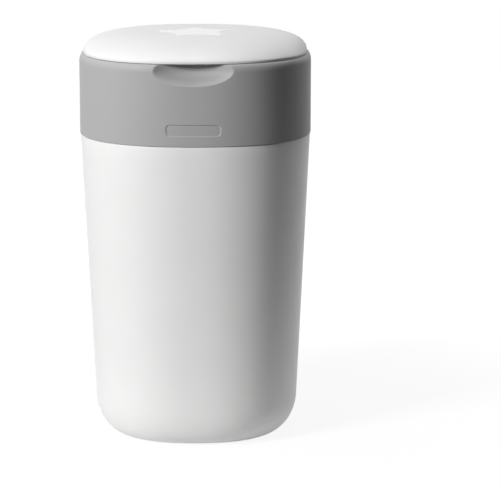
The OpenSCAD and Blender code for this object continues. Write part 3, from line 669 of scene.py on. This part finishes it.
def collar_inside():
    """Rows of the inner face, from the shoulder down to the lower edge."""
    rows = []
    for a in np.linspace(np.pi / 2, 0, 12)[1:]:
        half, height = shoulder(a)
        if height < COLLAR_TOP - 1:
            rows.append((half, COLLAR_WALL, height, SCOOP_SKIN))
    stop_top = STOP_LEVEL + LEDGE_THICKNESS
    rows += inner_wall(SHOULDER_FOOT, SEAT_LEVEL, 1.2)
    rows += ledge_rows(SEAT_LEVEL, SEAT_INSET)
    rows += inner_wall(SEAT_LEVEL - LEDGE_THICKNESS, stop_top, 1.2)
    rows += ledge_rows(stop_top, STOP_INSET)
    rows += inner_wall(STOP_LEVEL, COLLAR_BOTTOM + 1, 4)
    rows += [(COLLAR_HALF, COLLAR_WALL, COLLAR_BOTTOM + LOWER_ROUND, SCOOP_SKIN),
             (COLLAR_HALF, COLLAR_WALL - LOWER_ROUND, COLLAR_BOTTOM, SCOOP_SKIN)]
    return rows


def build_collar():
    """The collar's shell, with the scoop and the plate sunk into its front."""
    turn = collar_turns()
    rings = []
    for half, inset, height, grow in collar_outside() + collar_rim() + collar_inside():
        x, y = oval(half, inset, turn)
        z = np.full_like(x, height)
        front_side = y < 0
        y = np.where(front_side, rounded_max(y, bowl_y(x, z, grow), SCOOP_EASE), y)
        if grow == 0:
            y = y + np.where(front_side, PLATE_DEPTH * plate_mask(x, z), 0)
        rings.append(np.stack([x, y, z], axis=1))
    collar = loft("collar_shell", np.array(rings), "head", COLLAR_GREY, looped=True)
    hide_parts("collar")


def build_collar_hinges():
    """The collar's knuckles of both pairs of hinges, on their arms and blocks."""
    builder = bmesh.new()
    back = wall_y(lambda height: COLLAR_HALF, COLLAR_WALL / 2)
    y, z = HEAD_AXIS
    head_arm = [(None, z + 15), (139.7, z + 10), (141.2, z + 2), HEAD_AXIS, (131.2, z + 3),
                (None, STOP_LEVEL - 0.5)]
    head_block = [(None, z + 7.5), (138.4, z + 7.5), (139.8, z + 9), (137.4, z + 24),
                  (129.5, z + 41), (None, z + 41)]
    add_blocks(builder, head_block, back)
    add_side_knuckles(builder, HEAD_AXIS, HEAD_KNUCKLE, head_arm, back)
    y, z = LID_AXIS
    lid_arm = [(None, z - 16), (137.4, z - 10), (137.9, z - 1.4), LID_AXIS, (129.2, z),
               (128.9, z - 6.3), (None, z - 10)]
    lid_block = [(None, z - 38), (129.5, z - 38), (135.6, z - 23), (137.4, z - 7.6),
                 (136.3, z - 6.3), (None, z - 6.3)]
    add_blocks(builder, lid_block, back)
    add_side_knuckles(builder, LID_AXIS, LID_KNUCKLE, lid_arm, back)
    built_object("collar_hinge_arms", builder, "head", COLLAR_GREY)


build_collar()
build_collar_hinges()

# ---------------------------------------------------------------- lid and star

BOSS_CIRCLE = 84.0
BOSS_BASE = SEAM + 4.5
BOSS_RADIUS = 4.0
BOSS_BORE = 1.6


def dome_level(rise, turn, inset=0.0):
    """Height of the lid's face at the angles turn, where rise runs from 0 at the seam to 1."""
    share = smooth_step(-np.sin(turn), 0, 0.5)
    edge = DOME_EDGE + (FRONT_EDGE - DOME_EDGE) * share
    rim = FRONT_RIM * share
    return SEAM + rim + (DOME_RISE - inset - rim) * rise ** (1 / edge)


def dome_height(x, y, inset=0.0):
    """Height of the lid's outer face, or of the face lying in by inset, at a place in plan."""
    across, along = SEAM_HALF - inset, SEAM_HALF * DEPTH_SHARE - inset
    reach = (np.abs(x / across) ** PLAN_EXPONENT
             + np.abs(y / along) ** PLAN_EXPONENT) ** (1 / PLAN_EXPONENT)
    return dome_level(np.maximum(1 - reach**DOME_CROWN, 0), np.arctan2(y, x), inset)


def dome_row(step, inset, turn):
    """Half-width, inset and heights of the dome's row at step degrees, from seam to crown."""
    across = max(math.cos(math.radians(step)), 1e-9) ** (2 / DOME_CROWN)
    heights = dome_level(math.sin(math.radians(step)) ** 2, turn, inset)
    return (SEAM_HALF * across, inset * across, heights)


def build_lid():
    """The lid's shell, from its lower edge over the crown and back down inside."""
    turn = turns(SHELL_COLUMNS)
    above_edge = LID_EDGE + SEAM_ROUND
    outside = np.concatenate([spaced(1, 12, 0.7), spaced(12, 84, 1.8), spaced(84, 89.99, 0.6)])
    inside = np.concatenate([spaced(90, 84, 1.2), spaced(84, 12, 3), spaced(12, 2, 1.5)])
    dome = [dome_row(step, 0, turn) for step in outside]
    ceiling = [dome_row(step, LID_WALL, turn) for step in inside]
    rows = [(SEAM_HALF, SEAM_ROUND * (1 - math.sin(a)), LID_EDGE + SEAM_ROUND * (1 - math.cos(a)))
            for a in np.linspace(0, math.pi / 2, 4)]
    rows += [row for row in dome if row[2].min() > above_edge]
    rows.append(dome_row(90, 0, turn))
    rows += [row for row in ceiling if row[2].min() > above_edge]
    rows += [(SEAM_HALF, LID_WALL, above_edge), (SEAM_HALF, LID_WALL - SEAM_ROUND, LID_EDGE)]
    lid = loft("lid_shell", ring_rows(rows, turn), "lid", LID_WHITE_PAINTED_SHADE, looped=True)
    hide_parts("lid")


def build_lid_details():
    """The lid's knuckles on their arms, and the screw bosses under its face."""
    builder = bmesh.new()
    back = wall_y(lambda height: SEAM_HALF, LID_WALL / 2)
    arm = [(None, LID_EDGE + 0.9), (None, LID_EDGE + 9), (127, LID_EDGE + 8.4),
           (135, LID_AXIS[1] + 4.3), LID_AXIS, (129.2, LID_AXIS[1] + 0.6)]
    add_middle_knuckles(builder, LID_AXIS, LID_KNUCKLE, arm, back)
    for turn in np.radians([45, 135, 225, 315]):
        x, y = BOSS_CIRCLE * math.cos(turn), BOSS_CIRCLE * math.sin(turn)
        top = dome_height(x, y, LID_WALL / 2)
        outline = [(BOSS_RADIUS, BOSS_BASE), (BOSS_RADIUS, top), (BOSS_BORE, top),
                   (BOSS_BORE, BOSS_BASE)]
        add_ring(builder, outline, (x, y), 32)
    built_object("lid_details", builder, "lid", LID_WHITE_PAINTED_SHADE)


def direction(angle):
    """Unit vector at an angle."""
    return np.array([math.cos(angle), math.sin(angle)])


def star_corner(before, corner, after, is_tip):
    """Points of one corner, moved out by the tips' radius: an arc at a tip, one point at a notch."""
    sides = [(corner - before) / np.linalg.norm(corner - before),
             (after - corner) / np.linalg.norm(after - corner)]
    out_before, out_after = [np.array([y, -x]) for x, y in sides]
    if is_tip:
        first = math.atan2(out_before[1], out_before[0])
        last = math.atan2(out_after[1], out_after[0])
        last += 2 * math.pi if last < first else 0
        return [corner + STAR_TIP * direction(angle) for angle in np.linspace(first, last, 10)]
    middle = (out_before + out_after) / np.linalg.norm(out_before + out_after)
    return [corner + middle * STAR_TIP / max(0.2, middle @ out_before)]


def divided(points, step):
    """Outline with its straight stretches divided into lengths of about step."""
    result = []
    for i, point in enumerate(points):
        after = points[(i + 1) % len(points)]
        steps = max(1, int(np.linalg.norm(after - point) / step))
        result += [point + (after - point) * s / steps for s in range(steps)]
    return np.array(result)


def star_outline():
    """Five-pointed star with rounded tips, round its middle, fine enough to follow the dome."""
    reach = STAR_RADIUS - STAR_TIP
    first = math.pi / 2 + STAR_TURN
    corners = [(reach * STAR_WAIST if i % 2 else reach) * direction(first + math.radians(36) * i)
               for i in range(10)]
    points = []
    for i, corner in enumerate(corners):
        points += star_corner(corners[i - 1], corner, corners[(i + 1) % 10], is_tip=i % 2 == 0)
    return divided(points, 1.5)


def build_star():
    """The star, from its foot in the lid up its eased edge and in over its face."""
    outline = star_outline()
    proud, ease, sink = 0.25, 0.22, 1.0

    def ring(share, lift):
        x, y = outline[:, 0] * share + STAR_SIDE, outline[:, 1] * share - STAR_FORWARD
        return np.stack([x, y, dome_height(x, y) + lift], axis=1)

    edge = ((0.0, -sink), (0.0, proud - ease), (ease * 0.3, proud - ease * 0.3), (ease, proud))
    rings = [ring(1 - shrink / (STAR_RADIUS * 0.6), lift) for shrink, lift in edge]
    rings += [ring(share, proud) for share in np.linspace(0.985, 0, 26)]
    star = loft("star", np.array(rings), "lid", STAR_GLOSS)
    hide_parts("star_inlay")


build_lid()
build_lid_details()
build_star()

# ---------------------------------------------------------------- carried CAD nodes

FINISHES = {
    "inner_white": INNER_WHITE, "tub_white": TUB_WHITE, "ring_grey": RING_GREY,
    "slate_plastic": SLATE, "steel": STEEL, "grip_rubber": GRIP_RUBBER,
    "seal_rubber": SEAL_RUBBER, "film": FILM, "lid_white": LID_WHITE_PAINTED_SHADE,
    "collar_grey": COLLAR_GREY, "star_gloss": STAR_GLOSS,
}
NODE_SLOTS = {part["node"]: part["material_slot"] for part in frame["record"]["subparts"]}


def dress(node, bevel):
    """Gives a CAD node its finish, eased edges and smooth shading."""
    piece = frame["nodes"][node]
    for slot in piece.material_slots:
        slot.material = FINISHES[NODE_SLOTS[node]]
    if "custom_normal" in piece.data.attributes:
        piece.data.attributes.remove(piece.data.attributes["custom_normal"])
    piece.data.shade_smooth()
    weld = piece.modifiers.new("weld", "WELD")
    weld.merge_threshold = 0.003 * MM
    ease = piece.modifiers.new("ease", "BEVEL")
    ease.width = bevel * MM
    ease.segments = 2
    ease.limit_method = "ANGLE"
    ease.angle_limit = math.radians(32)
    ease.use_clamp_overlap = True
    piece.modifiers.new("level", "WEIGHTED_NORMAL")


# Width of the eased edges of each node, in millimetres
BEVELS = {
    "head_hinge_pins": 0.3, "lid_hinge_pins": 0.3, "deck": 0.4, "deck_screws": 0.15,
    "chassis": 0.4, "chassis_screws": 0.2, "click_spring": 0.1, "gripper": 0.2,
    "gripper_clamp": 0.35, "clamp_screws": 0.15, "cutter_track": 0.3, "head_catch": 0.3,
    "rim_seal": 0.2, "lid_liner": 0.4, "lid_seal": 0.2, "liner_screws": 0.2,
    "twist_ring": 0.5, "cassette_carrier": 0.3, "cassette_body": 0.35, "cassette_rim": 0.3,
    "cutter_slider": 0.4, "cutter_blade": 0.05,
}
for node, bevel in BEVELS.items():
    dress(node, bevel)

# ---------------------------------------------------------------- film in the cassette

FILM_INNER = 64.5  # radius of the film's inner face, on the cassette's tube
FILM_SIDE_INSET = 3.7  # from the outer radius in to the middle of the pleated side
PLEATS = 97
PLEAT_DEPTH = 0.5
FILM_COLUMNS = 540


def film_top(share, top, outer, turn):
    """Ring of the crumpled top, at a share of the way from its outer edge to the tube."""
    radius = outer - (outer - FILM_INNER) * share
    bulge = math.sin(math.pi * min(1, share * 1.05)) ** 0.6
    ring = []
    for t in turn:
        spot = Vector((radius * math.cos(t), radius * math.sin(t), 3.0))
        fold = noise.ridged_multi_fractal(spot * 0.085, 0.9, 2.1, 3, 1.0, 2.0)
        crumple = noise.noise(spot * 0.33) * 0.9 + noise.noise(spot * 0.75) * 0.35
        sway = 2.2 * noise.noise(Vector((math.cos(t) * 2.4, math.sin(t) * 2.4, 7.0)))
        height = top - 4.4 + bulge * 1.2 + sway * bulge + 1.15 * fold * bulge + crumple * bulge
        place = t + 1.1 * noise.noise(spot * 0.11 + Vector((9, 0, 0))) / radius
        ring.append((radius * math.cos(place), radius * math.sin(place), min(height, top + 1.9)))
    return np.array(ring)


def build_film():
    """Pleated film, packed between the cassette's tube and wall and crumpled on top."""
    low, high = box_mm("film_pack")
    outer, base, top = high[0], low[2] + 0.3, high[2] - 2.0
    turn = turns(FILM_COLUMNS)
    pleats = PLEAT_DEPTH * np.sin(turn * PLEATS + 3 * np.sin(turn * 5))
    side = outer - FILM_SIDE_INSET + pleats
    rings = [circle_row(side, height, turn) for height in np.linspace(base, top - 6, 10)]
    rings += [film_top(share, top, outer - 0.9, turn) for share in np.linspace(0, 1, 34)]
    rings += [circle_row(FILM_INNER, height, turn) for height in np.linspace(top - 8, base, 6)]
    film = loft("film", np.array(rings), "carrier", FILM, looped=True)
    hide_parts("film_pack")


build_film()

# ---------------------------------------------------------------- floor, light and camera

# Metres from here on
FLOOR_RADIUS = 14.0
FLOOR_SHOWN = 0.12  # tone that carries the shadow
FLOOR_GLOW = (0.9, 1.0)  # brightness added to it, at the bin and on the open floor
GLOW_REACH = (0.25, 0.8)
FLOOR_BOUNCE = (0.85, 0.22)  # tone for the light that the floor throws back, near and far
BOUNCE_REACH = (0.16, 0.6)
LAMP_AIM = (0, 0, 0.23)  # half-way up the bin

# Solved from the outline, the seam and the foot's crease, in metres and radians
CAMERA_DISTANCE = 2.858
CAMERA_HEIGHT = 0.794
CAMERA_AZIMUTH = 0.0205
CAMERA_PAN = 0.0217
CAMERA_PITCH = 0.2029
FOCAL_PIXELS = 2530.3
FRAME_PIXELS = 500.0


def seen_directly(tree):
    """1 for a ray from the camera, off a shine or through glass, and 0 for one that bounces."""
    path = tree.nodes.new("ShaderNodeLightPath")
    seen = path.outputs["Is Camera Ray"]
    for kind in ("Is Glossy Ray", "Is Transmission Ray"):
        either = tree.nodes.new("ShaderNodeMath")
        either.operation = "MAXIMUM"
        tree.links.new(seen, either.inputs[0])
        tree.links.new(path.outputs[kind], either.inputs[1])
        seen = either.outputs["Value"]
    return seen


def eased_range(tree, source, reach, ends):
    """Runs from one end to the other while source runs over reach."""
    node = tree.nodes.new("ShaderNodeMapRange")
    node.interpolation_type = "SMOOTHSTEP"
    for name, value in zip(("From Min", "From Max", "To Min", "To Max"), (*reach, *ends)):
        node.inputs[name].default_value = value
    tree.links.new(source, node.inputs["Value"])
    return node.outputs["Result"]


def floor_material():
    """White floor that shows the shadow and fades to plain white away from the bin."""
    material = bpy.data.materials.new("floor_white")
    material.use_nodes = True
    tree = material.node_tree
    nodes, links = tree.nodes, tree.links
    nodes.clear()
    place = nodes.new("ShaderNodeTexCoord")
    away = nodes.new("ShaderNodeVectorMath")
    away.operation = "LENGTH"
    links.new(place.outputs["Object"], away.inputs[0])
    distance = away.outputs["Value"]

    shown = nodes.new("ShaderNodeBsdfDiffuse")
    shown.inputs["Color"].default_value = (FLOOR_SHOWN, FLOOR_SHOWN, FLOOR_SHOWN, 1)
    glow = nodes.new("ShaderNodeEmission")
    links.new(eased_range(tree, distance, GLOW_REACH, FLOOR_GLOW), glow.inputs["Strength"])
    both = nodes.new("ShaderNodeAddShader")
    links.new(shown.outputs["BSDF"], both.inputs[0])
    links.new(glow.outputs["Emission"], both.inputs[1])
    bounce = nodes.new("ShaderNodeBsdfDiffuse")
    links.new(eased_range(tree, distance, BOUNCE_REACH, FLOOR_BOUNCE), bounce.inputs["Color"])

    mix = nodes.new("ShaderNodeMixShader")
    links.new(seen_directly(tree), mix.inputs["Fac"])
    links.new(bounce.outputs["BSDF"], mix.inputs[1])
    links.new(both.outputs["Shader"], mix.inputs[2])
    output = nodes.new("ShaderNodeOutputMaterial")
    links.new(mix.outputs["Shader"], output.inputs["Surface"])
    return material


def build_floor():
    """Round floor at z = 0."""
    bpy.ops.mesh.primitive_circle_add(vertices=128, radius=FLOOR_RADIUS, fill_type="NGON")
    floor = bpy.context.object
    floor.name = "floor"
    floor.data.materials.append(floor_material())


def build_world():
    """Plain white for what looks at it directly. It gives no light: the lamps do."""
    world = bpy.data.worlds.new("studio")
    bpy.context.scene.world = world
    world.use_nodes = True
    tree = world.node_tree
    tree.nodes.clear()
    white = tree.nodes.new("ShaderNodeBackground")
    white.inputs["Color"].default_value = (1, 1, 1, 1)
    tree.links.new(seen_directly(tree), white.inputs["Strength"])
    output = tree.nodes.new("ShaderNodeOutputWorld")
    tree.links.new(white.outputs["Background"], output.inputs["Surface"])


def soft_light(name, azimuth, elevation, distance, size, level):
    """Square lamp aimed at the bin. Azimuth 0 is in front and 90 is on the right.

    At level 1 a surface that faces it renders at its own colour.
    """
    turn, rise = math.radians(azimuth), math.radians(elevation)
    away = Vector((math.sin(turn) * math.cos(rise), -math.cos(turn) * math.cos(rise),
                   math.sin(rise)))
    lamp = bpy.data.lights.new(name, "AREA")
    lamp.size = size
    lamp.energy = level * math.pi**2 * distance**2
    holder = bpy.data.objects.new(name, lamp)
    holder.location = Vector(LAMP_AIM) + away * distance
    holder.rotation_euler = (-away).to_track_quat("-Z", "Y").to_euler()
    holder.visible_camera = False
    bpy.context.scene.collection.objects.link(holder)


def build_camera():
    """The photographer's long lens."""
    lens = bpy.data.cameras.new("camera")
    lens.sensor_width = 36.0
    lens.lens = FOCAL_PIXELS / FRAME_PIXELS * lens.sensor_width
    lens.clip_start, lens.clip_end = 0.05, 60.0
    camera = bpy.data.objects.new("camera", lens)
    camera.location = (CAMERA_DISTANCE * math.sin(CAMERA_AZIMUTH),
                       -CAMERA_DISTANCE * math.cos(CAMERA_AZIMUTH), CAMERA_HEIGHT)
    yaw = CAMERA_PAN - CAMERA_AZIMUTH
    forward = Vector((math.sin(yaw) * math.cos(CAMERA_PITCH),
                      math.cos(yaw) * math.cos(CAMERA_PITCH), -math.sin(CAMERA_PITCH)))
    camera.rotation_euler = forward.to_track_quat("-Z", "Y").to_euler()
    bpy.context.scene.collection.objects.link(camera)
    bpy.context.scene.camera = camera


build_floor()
build_world()
soft_light("key", azimuth=-47, elevation=30, distance=2.4, size=0.6, level=0.94)
soft_light("top", azimuth=180, elevation=86, distance=2.4, size=1.3, level=0.37)
soft_light("rim", azimuth=130, elevation=25, distance=2.2, size=0.9, level=0.15)
build_camera()
bpy.context.scene.view_settings.view_transform = "Standard"
